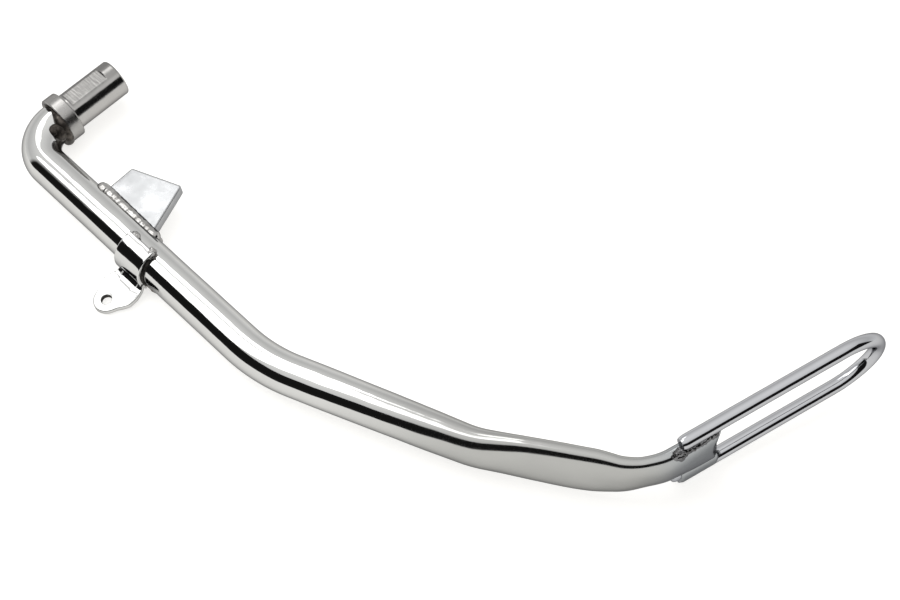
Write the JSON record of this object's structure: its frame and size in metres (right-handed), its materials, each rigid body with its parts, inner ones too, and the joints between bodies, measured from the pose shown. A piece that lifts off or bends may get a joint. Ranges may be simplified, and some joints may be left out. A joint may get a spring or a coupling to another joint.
{
  "type": "motorcycle kickstand",
  "caption": "Chromed side stand leg: bent round bar with a pivot pin and collar, stop plate, spring tab and a looped foot.",
  "frame": {"origin": "on the pivot pin's axis, level with the front face of its thrust collar", "axes": "+Y along the pivot pin towards its free end, +X along the upper leg away from the pin, +Z square to the plane that all the bends lie in"},
  "size_m": [0.3142, 0.1863, 0.0332],
  "materials": {
    "bright_chrome": "polished chrome plate over steel, faint blotches on the foot",
    "turned_chrome": "thin plate over turned steel, fine tool marks and a milled flat with chatter",
    "satin_chrome": "cloudy plate over unpolished steel plate with softened edges",
    "plated_weld": "plated fillet weld, rippled",
    "weld": "rough weld metal, thin dull plate with brown heat tint"
  },
  "bodies": {
    "root": {"leg": "bright_chrome", "pivot_pin": "turned_chrome", "pin_weld": "weld", "stop_plate": "satin_chrome", "stop_weld_upper": "plated_weld", "stop_weld_lower": "plated_weld", "spring_bracket": "bright_chrome", "bracket_tack_near": "weld", "bracket_tack_far": "weld", "bracket_weld": "weld", "foot_loop": "bright_chrome", "loop_weld_upper": "weld", "loop_weld_lower": "weld", "loop_end_weld_upper": "weld", "loop_end_weld_lower": "weld"}
  },
  "joints": []
}
